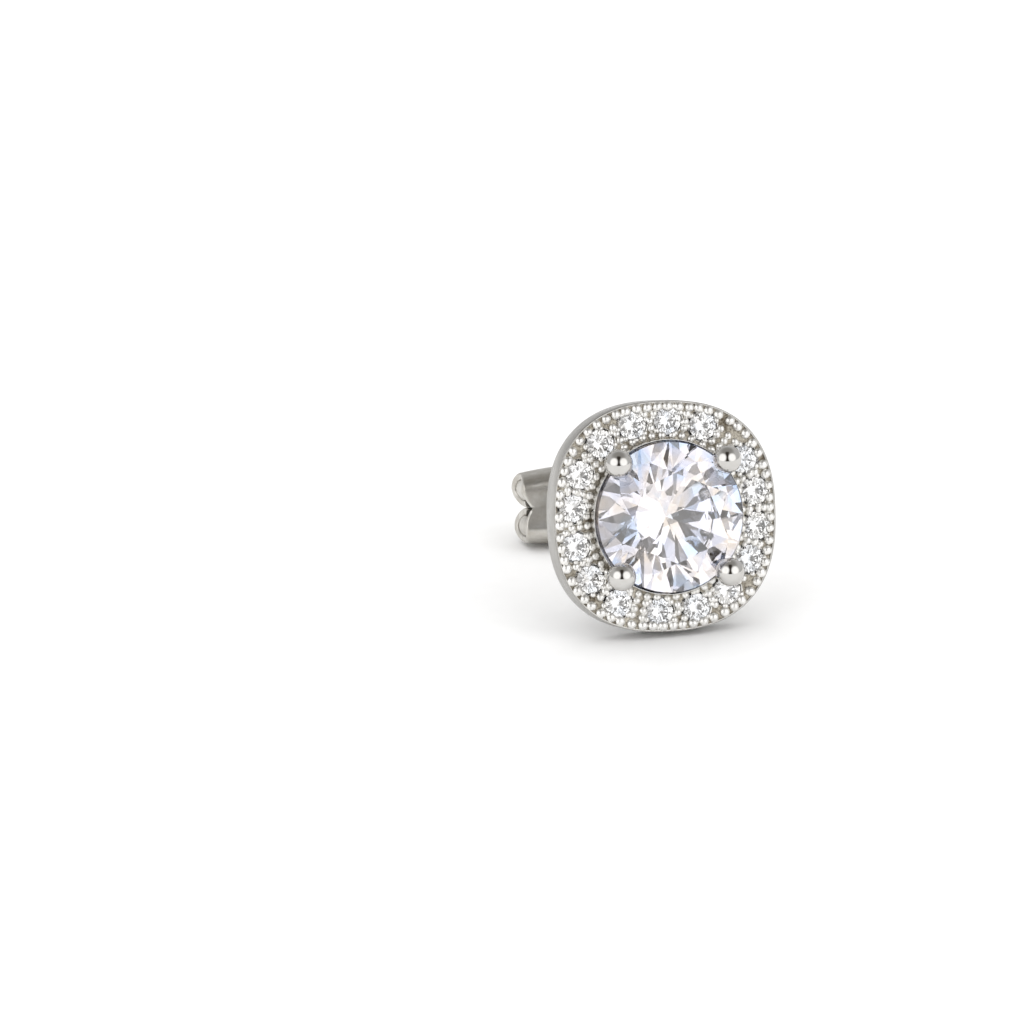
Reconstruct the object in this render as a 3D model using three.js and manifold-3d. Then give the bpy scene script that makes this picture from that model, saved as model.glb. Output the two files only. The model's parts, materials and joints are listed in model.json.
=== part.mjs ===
// A stud earring: a round brilliant held by four ball-tipped prongs, in a cushion-shaped halo of sixteen
// small bead-set stones, on a straight post with a butterfly clutch pushed onto its far end.
//
// Lengths are millimetres. The jewel is drawn about the axis of its post: x runs across the face, y up
// the face and z out of it, with the halo's back at z = 0 and the post behind it. The last section lays
// the finished jewel down, on the rim of its halo and the edge of its clutch.
import * as THREE from "three";
import { ConvexGeometry } from "three/addons/geometries/ConvexGeometry.js";
import { mergeVertices } from "three/addons/utils/BufferGeometryUtils.js";
import Module from "manifold-3d";

const wasm = await Module();
wasm.setup();

// Halo, a cushion outline drawn as a superellipse
const HALO_WIDTH = 10.0;
const HALO_TALL = 10.0;
const HALO_SQUARENESS = 2.45;
const HALO_THICKNESS = 1.35;
const HALO_EDGE = 0.1;
const HALO_BORE = 5.5;
const HALO_STEPS = 64;
const RIM_WIDTH = 0.18;
const DECK_DEPTH = 0.14;

// Collar that rises from the deck to carry the centre stone
const COLLAR_DIAMETER = 6.36;
const COLLAR_RISE = 0.5;

// Centre stone and its prongs
const CENTRE_DIAMETER = 6.5;
const CENTRE_RISE = 0.64;
const PRONG_COUNT = 4;
const PRONG_FIRST_ANGLE = 45;
const PRONG_WIRE = 0.8;
const PRONG_BALL = 1.14;
const PRONG_BALL_RISE = 0.66;
const PRONG_BALL_RING = 6.88;
const STONE_CLEARANCE = 0.04;

// Halo stones: where each one sits round the face, in degrees from the +x side
const HALO_STONE = 1.22;
const HALO_STONE_ANGLES = [-164, -143, -121, -95, -72, -51, -28, -8, 13, 33, 65, 87, 109, 131, 153, 173];
const HALO_STONE_OUTWARD = 0.06;
const AZURE_DIAMETER = 0.66;

// Beads raised from the deck: an even row on the rim, and small ones in each gap beside the collar
const RIM_BEAD = 0.48;
const RIM_BEAD_COUNT = 50;
const RIM_BEAD_INSET = 0.25;
const INNER_BEAD = 0.34;
const INNER_BEAD_RING = 7.0;
const INNER_BEAD_PITCH = 0.4;

// Base cup that the prong wires meet in, and the ear post
const CUP_DIAMETER = 2.6;
const CUP_HEIGHT = 0.65;
const CUP_BELOW_CULET = 0.35;
const POST_DIAMETER = 0.85;
const POST_LENGTH = 11.0;
const POST_TIP_ROUND = 0.25;

// Butterfly clutch: one strip pierced for the post, with both ends rolled back into scrolls
const CLUTCH_WIDTH = 6.1;
const CLUTCH_TALL = 3.5;
const CLUTCH_DEPTH = 2.5;
const CLUTCH_STRIP = 0.26;
const CLUTCH_CORNER = 1.0;
const CLUTCH_EDGE = 0.07;
const CLUTCH_RUNNING_GAP = 0.05;
const CLUTCH_PAST_TIP = 0.15;
const CLUTCH_TWIST = 3;
const SCROLL_TURN = 320;
const SCROLL_DRAW_IN = 0.3;

// Facets of a round brilliant: shares of the diameter, and slopes in degrees from the girdle's plane
const TABLE = 0.6;
const GIRDLE = 0.02;
const CROWN_SLOPE = 33;
const STAR_SLOPE = 20;
const PAVILION_SLOPE = 40.8;
const LOWER_HALF_END = 0.25;

const { degToRad } = THREE.MathUtils;
const rise = (degrees) => Math.tan(degToRad(degrees));

const deck = HALO_THICKNESS - DECK_DEPTH;
const centreGirdle = HALO_THICKNESS + CENTRE_RISE;
const cupTop = centreGirdle - (CENTRE_DIAMETER / 2) * rise(PAVILION_SLOPE) - CUP_BELOW_CULET;
const postTip = cupTop - CUP_HEIGHT - POST_LENGTH;
const clutchFront = postTip - CLUTCH_PAST_TIP + CLUTCH_DEPTH;

// A closed three.js geometry as a solid to join and cut, and such a solid as a geometry again
function solid(geometry) {
  const bare = geometry.clone();
  bare.deleteAttribute("normal");
  bare.deleteAttribute("uv");
  const merged = mergeVertices(bare, 1e-5);
  return new wasm.Manifold(
    new wasm.Mesh({
      numProp: 3,
      vertProperties: new Float32Array(merged.attributes.position.array),
      triVerts: new Uint32Array(merged.index.array),
    }),
  );
}

function geometryOf(manifold) {
  const { vertProperties, triVerts } = manifold.getMesh();
  const geometry = new THREE.BufferGeometry();
  geometry.setAttribute("position", new THREE.BufferAttribute(new Float32Array(vertProperties), 3));
  geometry.setIndex(new THREE.BufferAttribute(new Uint32Array(triVerts), 1));
  geometry.computeVertexNormals();
  return geometry;
}

function join(solids) {
  return solids.reduce((whole, piece) => whole.add(piece));
}

// A point at a polar angle and radius on the face, at height z
function polar(angle, radius, z = 0) {
  return new THREE.Vector3(radius * Math.cos(angle), radius * Math.sin(angle), z);
}

// Angles of a ring of places, the first of them at the angle start
function ring(count, start = 0) {
  return Array.from({ length: count }, (_, i) => start + (i * 2 * Math.PI) / count);
}

// A straight or tapered plug along the jewel's axis, from one height to another
function plug(bottomRadius, topRadius, from, to, sides) {
  const geometry = new THREE.CylinderGeometry(topRadius, bottomRadius, to - from, sides);
  return solid(geometry.rotateX(Math.PI / 2).translate(0, 0, (from + to) / 2));
}

// A profile of radii and heights turned about the jewel's axis
function turned(profile, sides) {
  const points = profile.map(([radius, z]) => new THREE.Vector2(radius, z));
  return solid(new THREE.LatheGeometry(points, sides).rotateX(Math.PI / 2));
}

function ball(diameter, centre, around, along) {
  const geometry = new THREE.SphereGeometry(diameter / 2, around, along);
  return solid(geometry.rotateX(Math.PI / 2).translate(centre.x, centre.y, centre.z));
}

// A round brilliant with its girdle's lower edge at z = 0, as the hull of its facets' corners: a table,
// 8 stars, 8 kites and 16 halves above the girdle, and 8 mains and 16 halves below
function brilliant(diameter, sides) {
  const R = diameter / 2;
  const girdle = GIRDLE * diameter;
  const eighth = Math.PI / 4;
  const halfFlat = R * Math.cos(eighth / 4);
  const tableHeight = girdle + R * (1 - TABLE) * rise(CROWN_SLOPE);
  const kiteEdgeRise = rise(CROWN_SLOPE) * Math.cos(eighth / 2);
  const mainEdgeRise = rise(PAVILION_SLOPE) * Math.cos(eighth / 2);

  // A star meets the edge between two kites, and a pair of lower halves the edge between two mains
  const coneTop = girdle + R * rise(CROWN_SLOPE);
  const starTop = tableHeight + TABLE * R * Math.cos(eighth / 2) * rise(STAR_SLOPE);
  const starReach = (coneTop - starTop) / (kiteEdgeRise - rise(STAR_SLOPE));
  const starHeight = coneTop - starReach * kiteEdgeRise;
  const lowerReach = LOWER_HALF_END * R;
  const lowerHeight = lowerReach * mainEdgeRise - R * rise(PAVILION_SLOPE);
  const upperHalfRise = (starHeight - girdle) / (halfFlat - starReach * Math.cos(eighth / 4));
  const lowerHalfRise = -lowerHeight / (halfFlat - lowerReach * Math.cos(eighth / 4));

  // The halves bite into the girdle between the points where they meet on it
  const bite = (angle) => {
    const fromFacet = (angle % (eighth / 2)) - eighth / 4;
    return R * Math.cos(fromFacet) - halfFlat;
  };
  return new ConvexGeometry([
    ...ring(8).map((angle) => polar(angle, TABLE * R, tableHeight)),
    ...ring(8, eighth / 2).map((angle) => polar(angle, starReach, starHeight)),
    ...ring(sides).map((angle) => polar(angle, R, girdle - bite(angle) * upperHalfRise)),
    ...ring(sides).map((angle) => polar(angle, R, bite(angle) * lowerHalfRise)),
    ...ring(8, eighth / 2).map((angle) => polar(angle, lowerReach, lowerHeight)),
    new THREE.Vector3(0, 0, -R * rise(PAVILION_SLOPE)),
  ]);
}

// The room that a setter burs out for a stone, a little larger than the stone all round
function stoneRoom(diameter, sides) {
  const R = diameter / 2 + STONE_CLEARANCE;
  const girdleTop = GIRDLE * diameter + STONE_CLEARANCE;
  const top = girdleTop + R * (1 - TABLE) * rise(CROWN_SLOPE);
  const girdleBottom = -STONE_CLEARANCE;
  const culet = girdleBottom - R * rise(PAVILION_SLOPE);
  return turned([[0, culet], [R, girdleBottom], [R, girdleTop], [TABLE * R, top], [0, top]], sides);
}

// Distance from the axis to the cushion outline, drawn in by an inset
function cushionRadius(angle, inset = 0) {
  const across = Math.abs(Math.cos(angle) / (HALO_WIDTH / 2 - inset)) ** HALO_SQUARENESS;
  const up = Math.abs(Math.sin(angle) / (HALO_TALL / 2 - inset)) ** HALO_SQUARENESS;
  return (across + up) ** (-1 / HALO_SQUARENESS);
}

// The cushion outline as a curve, along which beads can be spaced evenly
class CushionCurve extends THREE.Curve {
  constructor(inset) {
    super();
    this.inset = inset;
  }

  getPoint(t) {
    const angle = t * 2 * Math.PI;
    return polar(angle, cushionRadius(angle, this.inset));
  }
}

function cushionShape(inset) {
  const points = ring(HALO_STEPS).map((angle) => polar(angle, cushionRadius(angle, inset)));
  return new THREE.Shape(points.map((point) => new THREE.Vector2(point.x, point.y)));
}

// Halo stones sit along the middle of the deck, between the collar and the rim
function deckMiddle(angle) {
  return (cushionRadius(angle) + COLLAR_DIAMETER / 2) / 2 + HALO_STONE_OUTWARD;
}

// The halo's plate, pierced in the middle, with a deck sunk inside its rim
function haloPlate() {
  const outline = cushionShape(HALO_EDGE);
  outline.holes.push(new THREE.Path().absarc(0, 0, HALO_BORE / 2 + HALO_EDGE, 0, 2 * Math.PI));
  const plate = new THREE.ExtrudeGeometry(outline, {
    depth: HALO_THICKNESS - 2 * HALO_EDGE,
    bevelThickness: HALO_EDGE,
    bevelSize: HALO_EDGE,
    bevelSegments: 1,
    curveSegments: HALO_STEPS / 4,
  }).translate(0, 0, HALO_EDGE);
  const recess = new THREE.ExtrudeGeometry(cushionShape(RIM_WIDTH), {
    depth: HALO_THICKNESS,
    bevelEnabled: false,
  }).translate(0, 0, deck);
  return solid(plate).subtract(solid(recess));
}

function collar() {
  const inner = HALO_BORE / 2;
  const outer = COLLAR_DIAMETER / 2;
  const foot = HALO_THICKNESS / 2;
  const top = HALO_THICKNESS + COLLAR_RISE;
  return turned([[inner, foot], [outer, foot], [outer, top], [inner, top], [inner, foot]], HALO_STEPS / 2);
}

function rimBeads() {
  const row = new CushionCurve(RIM_BEAD_INSET);
  return Array.from({ length: RIM_BEAD_COUNT }, (_, i) => {
    const centre = row.getPointAt((i + 0.5) / RIM_BEAD_COUNT).setZ(deck);
    return ball(RIM_BEAD, centre, 8, 4);
  });
}

// Small beads in the gap from each halo stone to the next, as many as the gap has room for
function innerBeads() {
  const radius = INNER_BEAD_RING / 2;
  return HALO_STONE_ANGLES.flatMap((degrees, i) => {
    const next = HALO_STONE_ANGLES[(i + 1) % HALO_STONE_ANGLES.length];
    const angle = degToRad(degrees);
    const gap = degToRad((next - degrees + 360) % 360);
    const room = gap * deckMiddle(angle) - HALO_STONE;
    const count = Math.max(2, Math.round(room / INNER_BEAD_PITCH));
    return Array.from({ length: count }, (_, j) => {
      const shift = ((j - (count - 1) / 2) * INNER_BEAD_PITCH) / radius;
      return ball(INNER_BEAD, polar(angle + gap / 2 + shift, radius, deck), 6, 4);
    });
  });
}

// A prong: a wire that leaves the base cup, rises through the halo's bore and ends in a ball
function prong(angle) {
  const centre = polar(angle, PRONG_BALL_RING / 2, centreGirdle + PRONG_BALL_RISE);
  const foot = polar(angle, (CUP_DIAMETER - PRONG_WIRE) / 2, cupTop - CUP_HEIGHT / 3);
  const elbow = polar(angle, PRONG_BALL_RING / 2, cupTop + CUP_HEIGHT);
  const path = new THREE.QuadraticBezierCurve3(foot, elbow, centre);
  const section = new THREE.Shape().absarc(0, 0, PRONG_WIRE / 2, 0, 2 * Math.PI);
  const wire = new THREE.ExtrudeGeometry(section, { steps: 10, curveSegments: 5, extrudePath: path });
  return solid(wire).add(ball(PRONG_BALL, centre, 12, 10));
}

function post() {
  const r = POST_DIAMETER / 2;
  const top = cupTop - CUP_HEIGHT / 2;
  const tipEdge = [r - POST_TIP_ROUND, postTip];
  return turned([[0, postTip], tipEdge, [r, postTip + POST_TIP_ROUND], [r, top], [0, top]], 20);
}

// All the soldered metal, with room cut for every stone and an azure hole behind each small one
function setting() {
  const cup = plug(CUP_DIAMETER / 2 - CUP_HEIGHT / 4, CUP_DIAMETER / 2, cupTop - CUP_HEIGHT, cupTop, 24);
  const prongs = ring(PRONG_COUNT, degToRad(PRONG_FIRST_ANGLE)).map(prong);
  const metal = join([haloPlate(), collar(), ...rimBeads(), ...innerBeads(), ...prongs, cup, post()]);
  const azure = plug(AZURE_DIAMETER / 2, AZURE_DIAMETER / 2, -2 * HALO_THICKNESS, 0, 12);
  const smallRoom = stoneRoom(HALO_STONE, 16).add(azure);
  const smallRooms = HALO_STONE_ANGLES.map((degrees) => {
    const centre = polar(degToRad(degrees), deckMiddle(degToRad(degrees)), deck);
    return smallRoom.rotate([0, 0, degrees]).translate(centre.toArray());
  });
  const centreRoom = stoneRoom(CENTRE_DIAMETER, 48).translate([0, 0, centreGirdle]);
  return metal.subtract(join([centreRoom, ...smallRooms]));
}

// The line that the clutch's strip follows in side view: up the flat plate and round each scroll
function stripLine() {
  const half = CLUTCH_STRIP / 2;
  const besidePost = POST_DIAMETER / 2 + CLUTCH_RUNNING_GAP + half;
  const tall = (CLUTCH_TALL / 2 - half - besidePost) / 2;
  const deep = (CLUTCH_DEPTH - CLUTCH_STRIP) / 2;
  const steps = 12;
  const scroll = (side) => Array.from({ length: steps + 1 }, (_, i) => {
    const turn = degToRad(180 - (i * SCROLL_TURN) / steps);
    const drawn = 1 - SCROLL_DRAW_IN * Math.max(0, (2 * i) / steps - 1);
    const up = besidePost + tall + tall * Math.sin(turn);
    const back = half + deep + deep * drawn * Math.cos(turn);
    return new THREE.Vector3(0, side * up, -back);
  });
  const upper = scroll(1);
  const lower = scroll(-1).reverse();
  const line = new THREE.CurvePath();
  line.add(new THREE.CatmullRomCurve3(lower));
  line.add(new THREE.LineCurve3(lower.at(-1), upper[0]));
  line.add(new THREE.CatmullRomCurve3(upper));
  return line;
}

function roundedRectangle(width, tall, corner) {
  const x = width / 2 - corner;
  const y = tall / 2 - corner;
  const quarter = Math.PI / 2;
  return new THREE.Shape()
    .absarc(x, y, corner, 0, quarter)
    .absarc(-x, y, corner, quarter, 2 * quarter)
    .absarc(-x, -y, corner, 2 * quarter, 3 * quarter)
    .absarc(x, -y, corner, 3 * quarter, 4 * quarter);
}

// The clutch, with the front of its plate at z = 0
function clutch() {
  const section = roundedRectangle(CLUTCH_WIDTH, CLUTCH_STRIP, CLUTCH_EDGE);
  const strip = new THREE.ExtrudeGeometry(section, { steps: 64, curveSegments: 1, extrudePath: stripLine() });
  const outline = new THREE.ExtrudeGeometry(roundedRectangle(CLUTCH_WIDTH, CLUTCH_TALL, CLUTCH_CORNER), {
    depth: 3 * CLUTCH_DEPTH,
    bevelEnabled: false,
    curveSegments: 3,
  }).translate(0, 0, -2 * CLUTCH_DEPTH);
  const hole = POST_DIAMETER / 2 + CLUTCH_RUNNING_GAP;
  return solid(strip)
    .intersect(solid(outline))
    .subtract(plug(hole, hole, -2 * CLUTCH_DEPTH, CLUTCH_DEPTH, 20));
}

// The pieces in their places
const metalLook = { color: 0xd9d7d2, roughness: 0.18, metalness: 1 };
const stoneLook = { color: 0xf4f6fa, roughness: 0.02, metalness: 0, transparent: true, opacity: 0.6 };
const jewel = new THREE.Group();

function addPiece(name, geometry, look) {
  const mesh = new THREE.Mesh(geometry, new THREE.MeshStandardMaterial(look));
  mesh.name = name;
  jewel.add(mesh);
  return mesh;
}

const settingPiece = addPiece("setting", geometryOf(setting()), metalLook);
const clutchPiece = addPiece("clutch", geometryOf(clutch()), metalLook);
clutchPiece.position.z = clutchFront;
clutchPiece.rotation.z = degToRad(CLUTCH_TWIST);
addPiece("centre_stone", brilliant(CENTRE_DIAMETER, 48), stoneLook).position.z = centreGirdle;

const smallStone = brilliant(HALO_STONE, 16);
HALO_STONE_ANGLES.map(degToRad).forEach((angle, i) => {
  const mesh = addPiece("halo_stone_" + String(i + 1).padStart(2, "0"), smallStone, stoneLook);
  mesh.position.copy(polar(angle, deckMiddle(angle), deck));
  mesh.rotation.z = angle;
});

// Laid down, the jewel touches the floor with the lower edge of its halo and of its clutch. The edge of
// the clutch lies level, so the halo is turned by the twist between them, and its face leans back by the
// slope of the line that touches both from below
const roll = -degToRad(CLUTCH_TWIST);
const postAxis = new THREE.Vector3(0, 0, 1);

function pointsOf(mesh) {
  mesh.updateMatrix();
  const position = mesh.geometry.attributes.position;
  return Array.from({ length: position.count }, (_, i) => {
    const point = new THREE.Vector3().fromBufferAttribute(position, i);
    return point.applyMatrix4(mesh.matrix).applyAxisAngle(postAxis, roll);
  });
}

function leanBack(haloPoints, clutchPoints) {
  const leans = clutchPoints.map((c) => {
    const fromHalo = haloPoints.map((h) => (c.y - h.y) / (h.z - c.z));
    return Math.max(...fromHalo);
  });
  return Math.atan(Math.min(...leans));
}

const haloFoot = pointsOf(settingPiece).filter((p) => p.z > -HALO_EDGE && p.y < -HALO_TALL * 0.4);
const clutchFoot = pointsOf(clutchPiece).filter((p) => p.y < 0);
jewel.rotation.set(Math.PI / 2 - leanBack(haloFoot, clutchFoot), 0, roll);

const earring = new THREE.Group();
earring.add(jewel);
earring.updateMatrixWorld(true);
const box = new THREE.Box3().setFromObject(earring, true);
earring.position.set(-(box.min.x + box.max.x) / 2, -(box.min.y + box.max.y) / 2, -box.min.z);

export default earring;
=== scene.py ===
import json
import math
import random

import bmesh
import bpy
from mathutils import Matrix, Vector


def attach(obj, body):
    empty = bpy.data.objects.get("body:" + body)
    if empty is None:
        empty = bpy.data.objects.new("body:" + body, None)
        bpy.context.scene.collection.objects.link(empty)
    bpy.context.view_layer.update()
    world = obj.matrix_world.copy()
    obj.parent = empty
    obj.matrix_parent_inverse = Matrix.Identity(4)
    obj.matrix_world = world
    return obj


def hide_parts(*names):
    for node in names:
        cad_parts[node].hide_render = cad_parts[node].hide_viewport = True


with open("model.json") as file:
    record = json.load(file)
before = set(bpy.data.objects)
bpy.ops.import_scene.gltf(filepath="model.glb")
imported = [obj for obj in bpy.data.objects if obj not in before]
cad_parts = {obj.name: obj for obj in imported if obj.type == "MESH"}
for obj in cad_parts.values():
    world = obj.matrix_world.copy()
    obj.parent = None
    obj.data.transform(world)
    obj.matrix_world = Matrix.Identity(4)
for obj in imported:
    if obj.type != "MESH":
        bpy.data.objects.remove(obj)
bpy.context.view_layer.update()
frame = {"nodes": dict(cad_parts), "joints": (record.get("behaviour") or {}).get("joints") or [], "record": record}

# Halo plate
# The cushion-shaped plate that carries the small stones: cast silver, rhodium plated. It has a low rim,
# a deck sunk inside it, a collar for the centre stone, and a seat burred through for each small stone.
MM = 0.001
NEAR = 0.01
MERGED_WITHIN = 1e-4
ROUND_STEPS = 4

HALO_HALF = 5.0
SQUARENESS = 2.45
HALO_SIDES = 256
THICKNESS = 1.29
DECK = 1.21
RIM_WIDTH = 0.09
RIM_SATIN = 0.06
BORE = 2.75
COLLAR = 3.18
COLLAR_TOP = 1.86
COLLAR_STEP = 3.37
SEAT_FOOT = 1.48
BACK_POINT_RING = 4.2
BACK_POINT_ANGLE = 49
HALO_ROLL = -3

SMALL_STONE = 1.22
SMALL_STONE_ANGLES = [-164, -143, -121, -95, -72, -51, -28, -8, 13, 33, 65, 87, 109, 131, 153, 173]
SMALL_STONE_OUTWARD = 0.06
PAVILION = math.tan(math.radians(40.8))
SEAT_CLEARANCE = 0.03
GIRDLE_SINK = 0.05
BRIGHT_CUT = 0.72
BRIGHT_CUT_LIP = 0.005
AZURE = 0.33
BURR_BELOW = 2
BURR_ABOVE = 0.6
BURR_SIDES = 40


def polar(degrees, radius, height=0.0):
    """The point at an angle round the post's axis, a distance from it and a height."""
    angle = math.radians(degrees)
    return Vector((radius * math.cos(angle), radius * math.sin(angle), height))


# The jewel is drawn in millimetres about the axis of its post, then laid on the floor by this matrix
face_axis = -Vector(frame["joints"][0]["axis"]).normalized()
up_axis = face_axis.cross(Vector((1, 0, 0)))
upright = Matrix((Vector((1, 0, 0)), up_axis, face_axis)).transposed()
upright = upright @ Matrix.Rotation(math.radians(HALO_ROLL), 3, "Z")
back_point = Vector(frame["record"]["mounts"][0]["pos_m"])
halo_middle = back_point - upright @ polar(BACK_POINT_ANGLE, BACK_POINT_RING) * MM
laid_down = Matrix.Translation(halo_middle) @ upright.to_4x4() @ Matrix.Scale(MM, 4)
lean = math.atan2(-face_axis.z, -face_axis.y)


def cushion_radius(degrees):
    """How far the halo's outline lies from its middle at an angle."""
    direction = polar(degrees, 1 / HALO_HALF)
    return (abs(direction.x) ** SQUARENESS + abs(direction.y) ** SQUARENESS) ** (-1 / SQUARENESS)


def deck_middle(degrees):
    """How far a small stone at an angle lies from the middle: about halfway from collar to outline."""
    return (cushion_radius(degrees) + COLLAR) / 2 + SMALL_STONE_OUTWARD


def turned(section, steps):
    """A closed section of (radius, height, softness) corners, spun round the post's axis."""
    bm = bmesh.new()
    corners = [bm.verts.new((radius, 0, height)) for radius, height, soft in section]
    bm.faces.new(corners)
    for amount in sorted({soft for radius, height, soft in section if soft}):
        picked = [corner for corner, (radius, height, soft) in zip(corners, section) if soft == amount]
        bmesh.ops.bevel(bm, geom=picked, offset=amount, segments=ROUND_STEPS, profile=0.5,
                        affect="VERTICES", material=-1)
    bmesh.ops.delete(bm, geom=bm.faces[:], context="FACES_ONLY")
    on_axis = [e for e in bm.edges if max(abs(v.co.x) for v in e.verts) < MERGED_WITHIN]
    bmesh.ops.delete(bm, geom=on_axis, context="EDGES")
    bmesh.ops.spin(bm, geom=bm.verts[:] + bm.edges[:], cent=(0, 0, 0), axis=(0, 0, 1),
                   angle=2 * math.pi, steps=steps, use_merge=True)
    bmesh.ops.remove_doubles(bm, verts=bm.verts[:], dist=MERGED_WITHIN)
    bmesh.ops.recalc_face_normals(bm, faces=bm.faces[:])
    return bm


def repeated(shape, places):
    """A copy of one shape at every place, in one mesh."""
    pattern = bpy.data.meshes.new("pattern")
    shape.to_mesh(pattern)
    shape.free()
    whole = bmesh.new()
    for place in places:
        before = len(whole.verts)
        whole.from_mesh(pattern)
        bmesh.ops.transform(whole, matrix=place, verts=whole.verts[before:])
    bpy.data.meshes.remove(pattern)
    return whole


def object_of(name, bm, materials):
    mesh = bpy.data.meshes.new(name)
    bm.to_mesh(mesh)
    bm.free()
    for material in materials:
        mesh.materials.append(material)
    piece = bpy.data.objects.new(name, mesh)
    bpy.context.scene.collection.objects.link(piece)
    return piece


def apply_modifiers(piece):
    shown = piece.evaluated_get(bpy.context.evaluated_depsgraph_get())
    mesh = bpy.data.meshes.new_from_object(shown)
    piece.modifiers.clear()
    piece.data = mesh


def cut(piece, cutter):
    """Takes the cutter's shape out of a piece, and keeps the cutter's finish on the cut."""
    modifier = piece.modifiers.new("cut", "BOOLEAN")
    modifier.operation = "DIFFERENCE"
    modifier.solver = "EXACT"
    modifier.material_mode = "TRANSFER"
    modifier.object = cutter
    apply_modifiers(piece)
    bpy.data.objects.remove(cutter)


def finished(piece, sharp, body, node):
    """Lays a piece down in its place, shades it smooth up to its sharp edges, and gives it to a body."""
    piece.data.transform(laid_down)
    bm = bmesh.new()
    bm.from_mesh(piece.data)
    for face in bm.faces:
        face.smooth = True
    for edge in bm.edges:
        edge.smooth = edge.calc_face_angle(0) < math.radians(sharp)
    bm.to_mesh(piece.data)
    bm.free()
    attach(piece, body)
    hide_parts(node)


# The marks that casting, polishing and wear leave, measured in millimetres along the jewel
def surface_marks():
    group = bpy.data.node_groups.new("surface_marks", "ShaderNodeTree")
    for name, value in (("Mark Size", 0.1), ("Mark Stretch", 1.0), ("Relief", 0.1),
                        ("Smoothest", 0.05), ("Roughest", 0.2)):
        socket = group.interface.new_socket(name, in_out="INPUT", socket_type="NodeSocketFloat")
        socket.default_value = value
    for name, kind in (("Tone", "NodeSocketFloat"), ("Roughness", "NodeSocketFloat"),
                       ("Normal", "NodeSocketVector")):
        group.interface.new_socket(name, in_out="OUTPUT", socket_type=kind)
    nodes, links = group.nodes, group.links
    given, result = nodes.new("NodeGroupInput"), nodes.new("NodeGroupOutput")
    place = nodes.new("ShaderNodeTexCoord")
    turn = nodes.new("ShaderNodeMapping")
    turn.inputs["Rotation"].default_value = (math.pi / 2 - lean, 0, 0)
    turn.inputs["Scale"].default_value = (1 / MM,) * 3
    links.new(place.outputs["Object"], turn.inputs["Vector"])

    stretch = nodes.new("ShaderNodeCombineXYZ")
    for axis in "XY":
        links.new(given.outputs["Mark Stretch"], stretch.inputs[axis])
    stretch.inputs["Z"].default_value = 1
    along = nodes.new("ShaderNodeVectorMath")
    along.operation = "DIVIDE"
    links.new(turn.outputs["Vector"], along.inputs[0])
    links.new(stretch.outputs["Vector"], along.inputs[1])
    per_mark = nodes.new("ShaderNodeMath")
    per_mark.operation = "DIVIDE"
    per_mark.inputs[0].default_value = 1
    links.new(given.outputs["Mark Size"], per_mark.inputs[1])

    fine = nodes.new("ShaderNodeTexNoise")
    fine.inputs["Detail"].default_value = 3
    fine.inputs["Roughness"].default_value = 0.6
    links.new(along.outputs["Vector"], fine.inputs["Vector"])
    links.new(per_mark.outputs["Value"], fine.inputs["Scale"])
    broad = nodes.new("ShaderNodeTexNoise")
    broad.inputs["Scale"].default_value = 1.3
    broad.inputs["Detail"].default_value = 2
    links.new(turn.outputs["Vector"], broad.inputs["Vector"])

    both = nodes.new("ShaderNodeMix")
    both.data_type = "FLOAT"
    both.inputs["Factor"].default_value = 0.45
    links.new(fine.outputs["Fac"], both.inputs["A"])
    links.new(broad.outputs["Fac"], both.inputs["B"])
    spread = nodes.new("ShaderNodeMapRange")
    spread.inputs["From Min"].default_value = 0.35
    spread.inputs["From Max"].default_value = 0.65
    links.new(both.outputs["Result"], spread.inputs["Value"])
    gloss = nodes.new("ShaderNodeMix")
    gloss.data_type = "FLOAT"
    links.new(spread.outputs["Result"], gloss.inputs["Factor"])
    links.new(given.outputs["Smoothest"], gloss.inputs["A"])
    links.new(given.outputs["Roughest"], gloss.inputs["B"])
    relief = nodes.new("ShaderNodeBump")
    relief.inputs["Distance"].default_value = 0.02 * MM
    links.new(given.outputs["Relief"], relief.inputs["Strength"])
    links.new(fine.outputs["Fac"], relief.inputs["Height"])

    links.new(spread.outputs["Result"], result.inputs["Tone"])
    links.new(gloss.outputs["Result"], result.inputs["Roughness"])
    links.new(relief.outputs["Normal"], result.inputs["Normal"])
    return group


marks = surface_marks()


def white_metal(name, light, dark, size, stretch, relief, smoothest, roughest):
    """Rhodium plate over silver, with its surface marks mixing a light and a dark colour. Some finishes paint
    shade or a highlight into these colours.
    """
    material = bpy.data.materials.new(name)
    material.use_nodes = True
    nodes, links = material.node_tree.nodes, material.node_tree.links
    metal = nodes["Principled BSDF"]
    metal.inputs["Metallic"].default_value = 1
    surface = nodes.new("ShaderNodeGroup")
    surface.node_tree = marks
    for socket, value in (("Mark Size", size), ("Mark Stretch", stretch), ("Relief", relief),
                          ("Smoothest", smoothest), ("Roughest", roughest)):
        surface.inputs[socket].default_value = value
    tone = nodes.new("ShaderNodeMix")
    tone.data_type = "RGBA"
    tone.inputs["A"].default_value = (*light, 1)
    tone.inputs["B"].default_value = (*dark, 1)
    links.new(surface.outputs["Tone"], tone.inputs["Factor"])
    links.new(tone.outputs["Result"], metal.inputs["Base Color"])
    links.new(surface.outputs["Roughness"], metal.inputs["Roughness"])
    links.new(surface.outputs["Normal"], metal.inputs["Normal"])
    return material


# The satin wall's colour is darker than the polished metal's: painted shade on the same rhodium plate.
satin = white_metal("satin_white_metal_painted_shade", light=(0.44, 0.43, 0.41), dark=(0.38, 0.37, 0.35),
                    size=0.05, stretch=14, relief=0.3, smoothest=0.24, roughest=0.36)
polished = white_metal("polished_white_metal", light=(0.66, 0.65, 0.63), dark=(0.60, 0.585, 0.56),
                       size=0.4, stretch=1, relief=0.05, smoothest=0.03, roughest=0.10)
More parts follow.
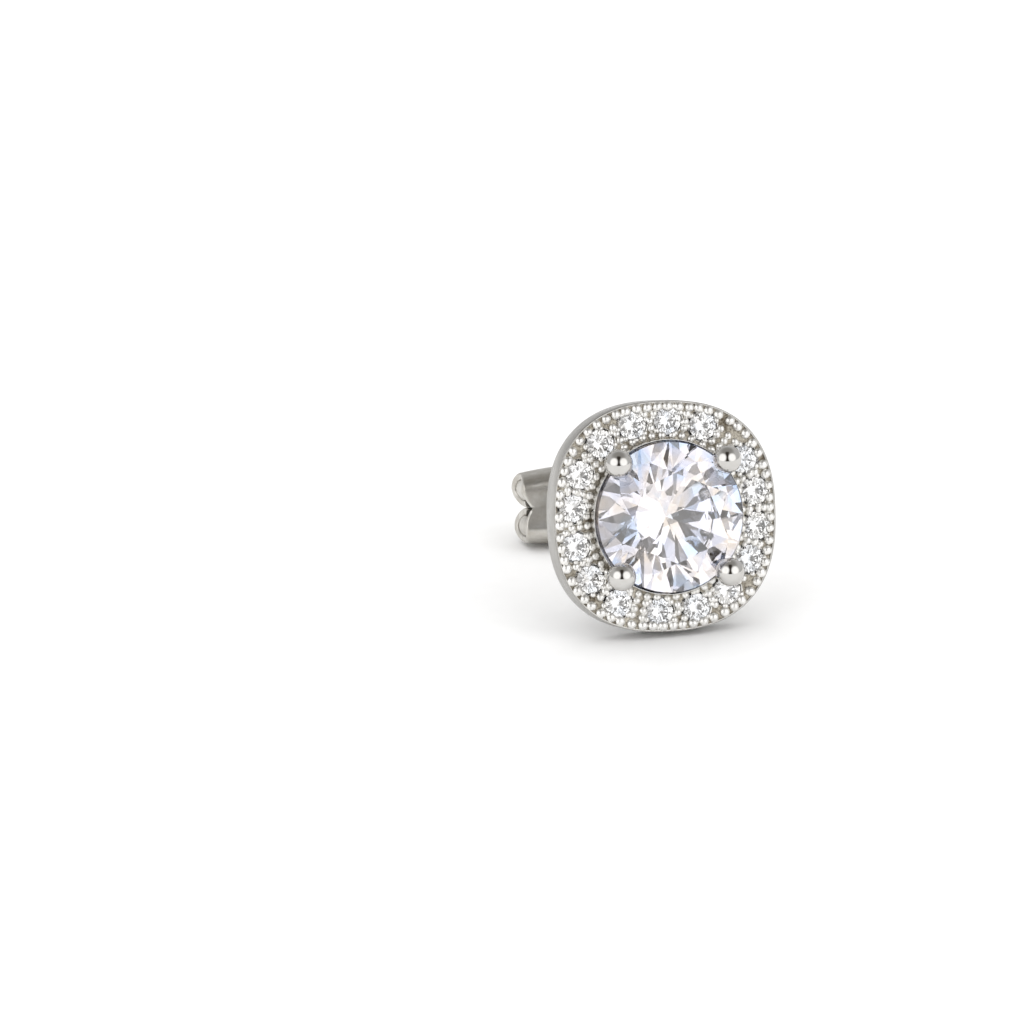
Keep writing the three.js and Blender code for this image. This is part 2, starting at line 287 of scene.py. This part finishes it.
# The deck's colour, down to near black, is painted shade and painted dark reflection of the sunk deck, laid in
# patches over its real cast grain.
grain_and_painted_shade = white_metal("deck_white_metal_painted_shade", light=(0.46, 0.43, 0.37), dark=(0.10, 0.08, 0.055),
                       size=0.12, stretch=1, relief=1.6, smoothest=0.16, roughest=0.42)
halo_finishes = (satin, polished, grain_and_painted_shade)

# The plate is turned as a disc, then all that lies outside its collar is pushed out to the cushion shape
rim_foot = HALO_HALF - RIM_WIDTH
halo = turned([
    # radius, height, softness
    (BORE, 0, 0.05),
    (HALO_HALF, 0, 0.1),
    (HALO_HALF, THICKNESS, 0.04),
    (rim_foot, THICKNESS, 0.03),
    (rim_foot, DECK, 0),
    (COLLAR_STEP, DECK, 0),
    (COLLAR_STEP, COLLAR_TOP, 0.04),
    (BORE, SEAT_FOOT, 0.03),
], HALO_SIDES)
for face in halo.faces:
    middle = face.calc_center_median()
    reach = middle.xy.length
    if abs(middle.z - DECK) < NEAR and COLLAR_STEP < reach < rim_foot:
        face.material_index = halo_finishes.index(grain_and_painted_shade)
    elif reach < BORE + 2 * NEAR or middle.z > DECK and reach < HALO_HALF - RIM_SATIN:
        face.material_index = halo_finishes.index(polished)
for vert in halo.verts:
    reach = vert.co.xy.length
    if reach > COLLAR_STEP + NEAR:
        angle = math.degrees(math.atan2(vert.co.y, vert.co.x))
        share = min(1, (reach - COLLAR_STEP) / (rim_foot - COLLAR_STEP))
        pushed = reach + share * (cushion_radius(angle) - HALO_HALF)
        vert.co.xy = vert.co.xy.normalized() * pushed

seat_radius = SMALL_STONE / 2 + SEAT_CLEARANCE
cone_foot = (seat_radius - AZURE) * PAVILION
seat = turned([
    # radius, height, softness
    (0, -BURR_BELOW, 0),
    (AZURE, -BURR_BELOW, 0),
    (AZURE, -GIRDLE_SINK - cone_foot, 0),
    (seat_radius, -GIRDLE_SINK, 0),
    (BRIGHT_CUT, BRIGHT_CUT_LIP, 0),
    (BRIGHT_CUT, BURR_ABOVE, 0),
    (0, BURR_ABOVE, 0),
], BURR_SIDES)
seats = repeated(seat, [Matrix.Translation(polar(a, deck_middle(a), DECK)) for a in SMALL_STONE_ANGLES])
halo_plate = object_of("halo_plate", halo, halo_finishes)
cut(halo_plate, object_of("seats", seats, (polished,)))
finished(halo_plate, sharp=32, body="earring", node="setting")

# Grain beads
# Small domes that the setter's beading tool raises from the deck: a close row along the rim, a few in
# every space between two stones, and tiny ones round each stone's edge. No two are quite the same.
RIM_BEADS = 64
RIM_BEAD = 0.245
RIM_BEAD_INSET = 0.265
RIM_ASTRAY_ALONG = 0.12
RIM_ASTRAY_INWARD = 0.015
GAP_RINGS = (3.53, 3.87, 4.2, 4.5)
GAP_BEAD = 0.19
GAP_MARGIN = 0.02
GAP_ROOM = 2.3
GAP_PITCH = 2.25
GAP_ASTRAY_ALONG = 0.02
GAP_ASTRAY_INWARD = 0.03
CLAWS = 8
CLAW = 0.14
CLAW_RING = 0.665
CLAW_ASTRAY_ALONG = 0.25
BEAD_SPREAD = (0.88, 1.06)
BEAD_RISE = (0.75, 0.95)
BEAD_BELOW = 0.2
BEAD_SIDES = 12
BEAD_RINGS = 9

# The beads' colour is much lighter than the polished metal's: a painted highlight on the same rhodium plate.
bead_metal_painted_highlight = white_metal("bead_white_metal_painted_highlight", light=(0.93, 0.92, 0.90), dark=(0.80, 0.785, 0.755),
                        size=0.07, stretch=1, relief=0.2, smoothest=0.26, roughest=0.38)
uneven = random.Random(7)


def astray(most):
    """How far the setter's hand misses, by as much as this to either side."""
    return uneven.uniform(-most, most)


def bead_place(degrees, reach, size):
    spot = polar(degrees, reach, DECK)
    width = size * uneven.uniform(*BEAD_SPREAD)
    length = size * uneven.uniform(*BEAD_SPREAD)
    height = size * uneven.uniform(*BEAD_RISE)
    spin = Matrix.Rotation(uneven.uniform(0, math.pi), 4, "Z")
    return Matrix.Translation(spot) @ spin @ Matrix.Diagonal((width, length, height, 1))


bead_places = []
for i in range(RIM_BEADS):
    angle = 360 * (i + 0.5 + astray(RIM_ASTRAY_ALONG)) / RIM_BEADS
    reach = cushion_radius(angle) - RIM_BEAD_INSET + astray(RIM_ASTRAY_INWARD)
    bead_places.append(bead_place(angle, reach, RIM_BEAD))

for i, stone_angle in enumerate(SMALL_STONE_ANGLES):
    gap = (SMALL_STONE_ANGLES[(i + 1) % len(SMALL_STONE_ANGLES)] - stone_angle) % 360
    for reach in GAP_RINGS:
        off_centre = reach - deck_middle(stone_angle + gap / 2)
        covered = math.sqrt(max(0, (SMALL_STONE / 2) ** 2 - off_centre ** 2))
        free = math.radians(gap) * reach - 2 * covered
        count = max(1, round((free - GAP_MARGIN) / (GAP_ROOM * GAP_BEAD)))
        for j in range(count):
            across = (j - (count - 1) / 2) * GAP_PITCH * GAP_BEAD + astray(GAP_ASTRAY_ALONG)
            angle = stone_angle + gap / 2 + math.degrees(across / reach)
            bead_places.append(bead_place(angle, reach + astray(GAP_ASTRAY_INWARD), GAP_BEAD))

for stone_angle in SMALL_STONE_ANGLES:
    start = uneven.uniform(0, 360)
    for j in range(CLAWS):
        step = polar(start + 360 * (j + astray(CLAW_ASTRAY_ALONG)) / CLAWS, CLAW_RING)
        spot = polar(stone_angle, deck_middle(stone_angle)) + step
        angle = math.degrees(math.atan2(spot.y, spot.x))
        if COLLAR_STEP + CLAW < spot.length < cushion_radius(angle) - CLAW:
            bead_places.append(bead_place(angle, spot.length, CLAW))

dome = bmesh.new()
bmesh.ops.create_uvsphere(dome, u_segments=BEAD_SIDES, v_segments=BEAD_RINGS, radius=1)
bmesh.ops.bisect_plane(dome, geom=dome.verts[:] + dome.edges[:] + dome.faces[:],
                       plane_co=(0, 0, -BEAD_BELOW), plane_no=(0, 0, 1), clear_inner=True)
beads = object_of("grain_beads", repeated(dome, bead_places), (bead_metal_painted_highlight,))
finished(beads, sharp=60, body="earring", node="setting")

# Prongs
# Four round wires that leave the base cup, pass up through the halo and end in melted balls. The balls
# are pressed down over the edge of the centre stone and polished to a mirror.
CENTRE_STONE = 6.5
GIRDLE = 1.99
GIRDLE_BAND = 0.15
CROWN = math.tan(math.radians(33))
TABLE_SHARE = 0.6
STONE_SIDES = 96
STONE_CLEARANCE = 0.02
CULET_CLEARANCE = 0.35
CUP = 1.3
CUP_HEIGHT = 0.65
CUP_TOP = GIRDLE - CENTRE_STONE / 2 * PAVILION - CULET_CLEARANCE
PRONG_ANGLES = (45, 135, 225, 315)
PRONG_WIRE = 0.4
PRONG_SIDES = 24
PRONG_STEPS = 24
PRONG_BALL = 0.62
PRONG_BALL_RISE = 0.66
PRONG_RING = 3.44


def drawn_wire(path, radius, sides):
    """A round wire that follows a path of points."""
    bm = bmesh.new()
    ways = [(b - a).normalized() for a, b in zip(path, path[1:])]
    ways.append(ways[-1])
    lean_in = Vector((0, 0, 1)).rotation_difference(ways[0]).to_matrix().to_4x4()
    bmesh.ops.create_circle(bm, cap_ends=True, segments=sides, radius=radius,
                            matrix=Matrix.Translation(path[0]) @ lean_in)
    rim = bm.edges[:]
    for i in range(1, len(path)):
        grown = bmesh.ops.extrude_edge_only(bm, edges=rim)["geom"]
        rim = [item for item in grown if isinstance(item, bmesh.types.BMEdge)]
        moved = [item for item in grown if isinstance(item, bmesh.types.BMVert)]
        turn = ways[i - 1].rotation_difference(ways[i]).to_matrix().to_4x4()
        step = Matrix.Translation(path[i]) @ turn @ Matrix.Translation(-path[i - 1])
        bmesh.ops.transform(bm, matrix=step, verts=moved)
    bmesh.ops.holes_fill(bm, edges=rim, sides=0)
    bmesh.ops.recalc_face_normals(bm, faces=bm.faces[:])
    return bm


foot = polar(0, CUP - PRONG_WIRE, CUP_TOP - CUP_HEIGHT / 3)
elbow = polar(0, PRONG_RING, CUP_TOP + CUP_HEIGHT)
ball_centre = polar(0, PRONG_RING, GIRDLE + PRONG_BALL_RISE)
shares = [i / PRONG_STEPS for i in range(PRONG_STEPS + 1)]
path = [foot * (1 - t) ** 2 + elbow * (2 * t * (1 - t)) + ball_centre * t ** 2 for t in shares]
turns = [Matrix.Rotation(math.radians(angle), 4, "Z") for angle in PRONG_ANGLES]
wire = drawn_wire(path, PRONG_WIRE, PRONG_SIDES)
wires = object_of("prong_wires", repeated(wire, turns), (polished,))

half = CENTRE_STONE / 2 + STONE_CLEARANCE
table_height = GIRDLE + GIRDLE_BAND + half * (1 - TABLE_SHARE) * CROWN
stone_room = turned([
    # radius, height, softness
    (0, GIRDLE - half * PAVILION, 0),
    (half, GIRDLE - STONE_CLEARANCE, 0),
    (half, GIRDLE + GIRDLE_BAND, 0),
    (half * TABLE_SHARE, table_height, 0),
    (0, table_height, 0),
], STONE_SIDES)
cut(wires, object_of("stone_room", stone_room, (polished,)))
finished(wires, sharp=32, body="earring", node="setting")

ball = bmesh.new()
bmesh.ops.create_icosphere(ball, subdivisions=5, radius=PRONG_BALL, matrix=Matrix.Translation(ball_centre))
balls = object_of("prong_balls", repeated(ball, turns), (polished,))
finished(balls, sharp=60, body="earring", node="setting")

# Base cup and ear post
# The prongs meet in a small turned cup. The straight ear post is soldered to its back and rounded at
# the tip, so that it goes through the piercing easily.
POST = 0.425
POST_LENGTH = 11.0
POST_ROUND = 0.2
POST_SIDES = 48
SOLDER = 0.16
CUP_ROUND = 0.08

cup_foot = CUP_TOP - CUP_HEIGHT
post_tip = cup_foot - POST_LENGTH
base = turned([
    # radius, height, softness
    (0, post_tip, 0),
    (POST, post_tip, POST_ROUND),
    (POST, cup_foot - SOLDER, CUP_ROUND),
    (POST + SOLDER, cup_foot, 0),
    (CUP - CUP_HEIGHT / 4, cup_foot, CUP_ROUND),
    (CUP, CUP_TOP, CUP_ROUND),
    (0, CUP_TOP, 0),
], POST_SIDES)
cup_and_post = object_of("cup_and_post", base, (polished,))
finished(cup_and_post, sharp=32, body="earring", node="setting")

# Butterfly clutch
# A strip of springy white metal, pierced for the post, with both ends rolled back into scrolls that
# grip it. It is tumbled to a soft satin, so that its edges are rounded.
CLUTCH_HALF_WIDTH = 3.05
CLUTCH_HALF_TALL = 1.75
CLUTCH_DEPTH = 2.5
CLUTCH_SHEET = 0.34
CLUTCH_EDGE = 0.11
SHARP_EDGE = 50
SIDEWAYS = 0.6
THROUGH_SHEET = 0.8
CLUTCH_GAP = 0.05
CLUTCH_TWIST = 3
CLUTCH_BEYOND_TIP = 0.15
SCROLL_TURN = 292
SCROLL_STEPS = 64
STRIP_CUTS = 31
PLATE_CUTS = 15
SWELL = 0.47
SWELL_FROM = 0.25
PINCH = 0.16
LOBE_TALL = 0.9
LOBE_ROUND = 1.05
WAIST = 0.42
DISH = 0.178
CORE = (0.715, 0.80)
CORE_RECESS = 0.03
CORE_DOME = 0.09
DOME_STEPS = 6
CORE_STEPS = 12
CORE_SIDES = 48

clutch_satin = white_metal("clutch_white_metal", light=(0.66, 0.645, 0.61), dark=(0.50, 0.475, 0.43),
                           size=0.12, stretch=3, relief=0.25, smoothest=0.28, roughest=0.42)
half_sheet = CLUTCH_SHEET / 2
hole_radius = POST + CLUTCH_GAP
beside_post = hole_radius + half_sheet
scroll_tall = (CLUTCH_HALF_TALL - half_sheet - beside_post) / 2
scroll_deep = (CLUTCH_DEPTH - CLUTCH_SHEET) / 2
scroll_middle = beside_post + scroll_tall


def rolled_scroll(bm):
    """Opens a round tube of radius 1 on the x axis out to the shape of one scroll, and mirrors it."""
    for vert in bm.verts:
        along = max(0, (abs(vert.co.x) / CLUTCH_HALF_WIDTH - SWELL_FROM) / (1 - SWELL_FROM))
        swollen = min(1, 2 * along)
        inner = beside_post - SWELL * swollen ** 2 * (3 - 2 * swollen)
        outer = CLUTCH_HALF_TALL - half_sheet - PINCH * along ** 2
        vert.co.y = (inner + outer) / 2 + (outer - inner) / 2 * vert.co.y
        vert.co.z = scroll_deep * ((1 - PINCH * along ** 2) * vert.co.z - 1) - half_sheet
    bmesh.ops.mirror(bm, geom=bm.verts[:] + bm.edges[:] + bm.faces[:], axis="Y", merge_dist=0)


def outlined(bm):
    """Gives both ends of the clutch their outline: two round lobes with a notch between them."""
    for vert in bm.verts:
        beyond = (abs(vert.co.y) - LOBE_TALL) / LOBE_ROUND
        if beyond > 0:
            narrowing = LOBE_ROUND * (1 - math.sqrt(max(0, 1 - beyond ** 2)))
        else:
            narrowing = WAIST * (1 - abs(vert.co.y) / LOBE_TALL) ** 2
        vert.co.x *= 1 - narrowing / CLUTCH_HALF_WIDTH
    bmesh.ops.recalc_face_normals(bm, faces=bm.faces[:])


def tumbled(piece):
    """Rounds the sheet's long edges, but not the short ones where it ends inside the scrolls."""
    bm = bmesh.new()
    bm.from_mesh(piece.data)
    long_edges = []
    for edge in bm.edges:
        length = edge.calc_length()
        sideways = abs(edge.verts[0].co.x - edge.verts[1].co.x) > SIDEWAYS * length
        through = length > THROUGH_SHEET * CLUTCH_SHEET
        if edge.calc_face_angle(0) > math.radians(SHARP_EDGE) and not sideways and not through:
            long_edges.append(edge)
    bmesh.ops.bevel(bm, geom=long_edges, offset=CLUTCH_EDGE, segments=ROUND_STEPS, profile=0.5,
                    affect="EDGES", clamp_overlap=False, material=-1)
    bm.to_mesh(piece.data)
    bm.free()


# The strip: two scrolls spun from a straight line at their front, and the plate that joins them there
strip = bmesh.new()
ends = [strip.verts.new((x, 0, 1)) for x in (-CLUTCH_HALF_WIDTH, CLUTCH_HALF_WIDTH)]
front_line = strip.edges.new(ends)
bmesh.ops.subdivide_edges(strip, edges=[front_line], cuts=STRIP_CUTS, use_grid_fill=False)
bmesh.ops.spin(strip, geom=strip.verts[:] + strip.edges[:], cent=(0, 0, 0), axis=(1, 0, 0),
               angle=-math.radians(SCROLL_TURN), steps=SCROLL_STEPS, use_merge=False)
on_front = strip.verts.layers.int.new("on_front")
for vert in strip.verts:
    vert[on_front] = vert.co.z > 1 - MERGED_WITHIN
rolled_scroll(strip)
front_edges = [e for e in strip.edges if e.is_boundary and all(v[on_front] for v in e.verts)]
plate = bmesh.ops.bridge_loops(strip, edges=front_edges)["edges"]
bmesh.ops.subdivide_edges(strip, edges=plate, cuts=PLATE_CUTS, use_grid_fill=True)
for vert in strip.verts:
    front_share = max(0, 1 + vert.co.z / scroll_deep)
    vert.co.z -= DISH * front_share * max(0, 1 - (vert.co.y / scroll_middle) ** 2) ** 2
outlined(strip)

# The inner coils of both scrolls, which close their ends: a rod with domed ends, spun and rolled alike
core_end = CLUTCH_HALF_WIDTH - CORE_RECESS
left_end = [(-core_end + CORE_DOME * (i / DOME_STEPS) ** 2, i / DOME_STEPS) for i in range(DOME_STEPS + 1)]
side = [((core_end - CORE_DOME) * (i / CORE_STEPS - 1), 1) for i in range(1, 2 * CORE_STEPS)]
right_end = [(-x, reach) for x, reach in reversed(left_end)]
core = bmesh.new()
outline = [core.verts.new((x, 0, reach)) for x, reach in left_end + side + right_end]
for a, b in zip(outline, outline[1:]):
    core.edges.new((a, b))
bmesh.ops.spin(core, geom=core.verts[:] + core.edges[:], cent=(0, 0, 0), axis=(1, 0, 0),
               angle=2 * math.pi, steps=CORE_SIDES, use_merge=True)
bmesh.ops.remove_doubles(core, verts=core.verts[:], dist=MERGED_WITHIN)
bmesh.ops.scale(core, vec=(1, *CORE), verts=core.verts[:])
rolled_scroll(core)
outlined(core)

clutch = object_of("butterfly_clutch", strip, (clutch_satin,))
sheet = clutch.modifiers.new("sheet", "SOLIDIFY")
sheet.thickness = CLUTCH_SHEET
sheet.offset = 0
apply_modifiers(clutch)
tumbled(clutch)
hole = bmesh.new()
bmesh.ops.create_cone(hole, cap_ends=True, segments=POST_SIDES, radius1=hole_radius, radius2=hole_radius,
                      depth=4 * CLUTCH_DEPTH)
cut(clutch, object_of("hole", hole, (clutch_satin,)))

whole = bmesh.new()
whole.from_mesh(clutch.data)
rolls = bpy.data.meshes.new("rolls")
core.to_mesh(rolls)
core.free()
whole.from_mesh(rolls)
bpy.data.meshes.remove(rolls)
whole.to_mesh(clutch.data)
whole.free()
clutch_front = post_tip - CLUTCH_BEYOND_TIP + CLUTCH_DEPTH
clutch.data.transform(Matrix.Translation((0, 0, clutch_front))
                      @ Matrix.Rotation(math.radians(CLUTCH_TWIST), 4, "Z"))
finished(clutch, sharp=40, body="clutch", node="clutch")

# Stones
# Brilliant-cut clear stones, colourless and highly polished: one large in the middle and sixteen small.
# Their facets are the solids' own, so only their material is made here.
STONE_INDEX = 2.16
FIRE_TINT_PLACES = (0.32, 0.42, 0.55, 0.68)


def clear_stone(name, fire_tints, fire_patches_per_mm):
    """A clear stone whose colour is painted in patches from cold tints to warm ones: painted fire and painted
    reflections of the room.
    """
    material = bpy.data.materials.new(name)
    material.use_nodes = True
    nodes, links = material.node_tree.nodes, material.node_tree.links
    glass = nodes["Principled BSDF"]
    glass.inputs["Roughness"].default_value = 0
    glass.inputs["IOR"].default_value = STONE_INDEX
    glass.inputs["Transmission Weight"].default_value = 1
    place = nodes.new("ShaderNodeTexCoord")
    fire_patches = nodes.new("ShaderNodeTexNoise")
    fire_patches.inputs["Scale"].default_value = fire_patches_per_mm / MM
    fire_patches.inputs["Detail"].default_value = 0
    shade = nodes.new("ShaderNodeValToRGB")
    stops = shade.color_ramp.elements
    stops[0].position = FIRE_TINT_PLACES[0]
    stops[1].position = FIRE_TINT_PLACES[-1]
    for position in FIRE_TINT_PLACES[1:-1]:
        stops.new(position)
    for stop, tint in zip(stops, fire_tints):
        stop.color = (*tint, 1)
    links.new(place.outputs["Object"], fire_patches.inputs["Vector"])
    links.new(fire_patches.outputs["Fac"], shade.inputs["Fac"])
    links.new(shade.outputs["Color"], glass.inputs["Base Color"])
    return material


# The stones' colour patches are painted fire and painted reflections, which also dim them; the stones themselves
# are colourless.
large_stone = clear_stone("large_stone_painted_fire", [
    (0.46, 0.62, 0.90),
    (0.71, 0.73, 0.88),
    (0.81, 0.80, 0.89),
    (0.87, 0.77, 0.68),
], fire_patches_per_mm=0.9)
small_stone = clear_stone("small_stone_painted_fire", [
    (0.84, 0.88, 0.94),
    (0.92, 0.92, 0.93),
    (0.95, 0.95, 0.95),
    (0.93, 0.91, 0.88),
], fire_patches_per_mm=1.5)
for name, node in frame["nodes"].items():
    if "stone" in name:
        node.material_slots[0].material = large_stone if name == "centre_stone" else small_stone

# Floor, light and camera
# A plain white table under a broad soft light, with a window of light on either side of the dark camera
# and pale walls all round. The camera looks down a little at the face, from the left.
TABLE_HALF = 3
PAPER_LIGHT = (0.93, 0.93, 0.93)
PAPER_DARK = (0.90, 0.90, 0.90)
VIEW_TURN = -15
VIEW_RISE = 3.36
VIEW_ROLL = 1.63
VIEW_DISTANCE = 250
VIEW_ASIDE = 6.301
VIEW_ABOVE = 0.126
LENS = 202.3
OVERHEAD_SIZE = 1.4
OVERHEAD_HEIGHT = 0.9
OVERHEAD_GLOW = 1.3
WINDOW_ASIDE = 46
WINDOW_RISE = 24
WINDOW_REACH = (20, 39)
WINDOW_GLOW = 1.6
WALL = (0.66, 0.66, 0.66)
CEILING = (0.35, 0.34, 0.325)
CEILING_EDGE = (0.55, 0.95)
CAMERA_SIDE = (0.05, 0.042, 0.035)
CAMERA_SIDE_ACROSS = (0.30, 0.13)
CAMERA_SIDE_AHEAD = (0.35, 0.60)

scene = bpy.context.scene
turn, rise = math.radians(VIEW_TURN), math.radians(VIEW_RISE)
towards = Vector((math.sin(turn) * math.cos(rise), math.sin(rise), math.cos(turn) * math.cos(rise)))
level = Vector((math.cos(turn), 0, -math.sin(turn)))
roll = Matrix.Rotation(math.radians(-VIEW_ROLL), 3, towards)
right = roll @ level
above = roll @ towards.cross(level)
viewpoint = towards * VIEW_DISTANCE - right * VIEW_ASIDE + above * VIEW_ABOVE
camera = bpy.data.objects.new("camera", bpy.data.cameras.new("camera"))
camera.data.sensor_width = 36
camera.data.lens = LENS
camera.data.clip_start = 0.01
camera.matrix_world = (Matrix.Translation(laid_down @ viewpoint)
                       @ (upright @ Matrix((right, above, towards)).transposed()).to_4x4())
scene.collection.objects.link(camera)
scene.camera = camera

paper = bpy.data.materials.new("white_table")
paper.use_nodes = True
nodes, links = paper.node_tree.nodes, paper.node_tree.links
fibre = nodes.new("ShaderNodeTexNoise")
fibre.inputs["Scale"].default_value = 900
fibre_place = nodes.new("ShaderNodeTexCoord")
fibre_tone = nodes.new("ShaderNodeMix")
fibre_tone.data_type = "RGBA"
fibre_tone.inputs["A"].default_value = (*PAPER_LIGHT, 1)
fibre_tone.inputs["B"].default_value = (*PAPER_DARK, 1)
links.new(fibre_place.outputs["Object"], fibre.inputs["Vector"])
links.new(fibre.outputs["Fac"], fibre_tone.inputs["Factor"])
links.new(fibre_tone.outputs["Result"], nodes["Principled BSDF"].inputs["Base Color"])
nodes["Principled BSDF"].inputs["Roughness"].default_value = 0.8
table = bmesh.new()
bmesh.ops.create_grid(table, x_segments=1, y_segments=1, size=TABLE_HALF)
floor = object_of("floor", table, (paper,))

light = bpy.data.lights.new("overhead", "AREA")
light.size = OVERHEAD_SIZE
light.energy = OVERHEAD_GLOW * math.pi * OVERHEAD_SIZE ** 2
overhead = bpy.data.objects.new("overhead", light)
overhead.location = (0, 0, OVERHEAD_HEIGHT)
overhead.visible_camera = overhead.visible_glossy = overhead.visible_transmission = False
scene.collection.objects.link(overhead)

room = bpy.data.worlds.new("room")
room.use_nodes = True
nodes, links = room.node_tree.nodes, room.node_tree.links
seen = nodes.new("ShaderNodeTexCoord")
view_way = upright @ towards
view_azimuth = math.atan2(view_way.x, -view_way.y)


def share_of(way, start, end):
    """How far the direction that is looked in goes along a way: 0 up to start, 1 from end on."""
    along = nodes.new("ShaderNodeVectorMath")
    along.operation = "DOT_PRODUCT"
    along.inputs[1].default_value = way
    links.new(seen.outputs["Generated"], along.inputs[0])
    share = nodes.new("ShaderNodeMapRange")
    share.interpolation_type = "SMOOTHSTEP"
    share.inputs["From Min"].default_value = start
    share.inputs["From Max"].default_value = end
    links.new(along.outputs["Value"], share.inputs["Value"])
    return share.outputs["Result"]


def product_of(a, b):
    product = nodes.new("ShaderNodeMath")
    product.operation = "MULTIPLY"
    links.new(a, product.inputs[0])
    links.new(b, product.inputs[1])
    return product.outputs["Value"]


def painted(under, colour, share):
    """A colour laid over another one in the given share."""
    mix = nodes.new("ShaderNodeMix")
    mix.data_type = "RGBA"
    links.new(share, mix.inputs["Factor"])
    if isinstance(under, tuple):
        mix.inputs["A"].default_value = (*under, 1)
    else:
        links.new(under, mix.inputs["A"])
    mix.inputs["B"].default_value = (*colour, 1)
    return mix.outputs["Result"]


colour = painted(WALL, CEILING, share_of(Vector((0, 0, 1)), *CEILING_EDGE))
across = Vector((math.cos(view_azimuth), math.sin(view_azimuth), 0))
between = product_of(share_of(across, *CAMERA_SIDE_ACROSS), share_of(-across, *CAMERA_SIDE_ACROSS))
colour = painted(colour, CAMERA_SIDE, product_of(between, share_of(view_way, *CAMERA_SIDE_AHEAD)))
full, faint = (math.cos(math.radians(reach)) for reach in WINDOW_REACH)
for aside in (-WINDOW_ASIDE, WINDOW_ASIDE):
    azimuth, climb = view_azimuth + math.radians(aside), math.radians(WINDOW_RISE)
    way = Vector((math.sin(azimuth) * math.cos(climb), -math.cos(azimuth) * math.cos(climb), math.sin(climb)))
    colour = painted(colour, (WINDOW_GLOW,) * 3, share_of(way, faint, full))
links.new(colour, nodes["Background"].inputs["Color"])
scene.world = room

scene.view_settings.view_transform = "Standard"
scene.cycles.max_bounces = 24
scene.cycles.transmission_bounces = 24
scene.cycles.glossy_bounces = 8
scene.cycles.sample_clamp_indirect = 12
scene.cycles.use_denoising = True
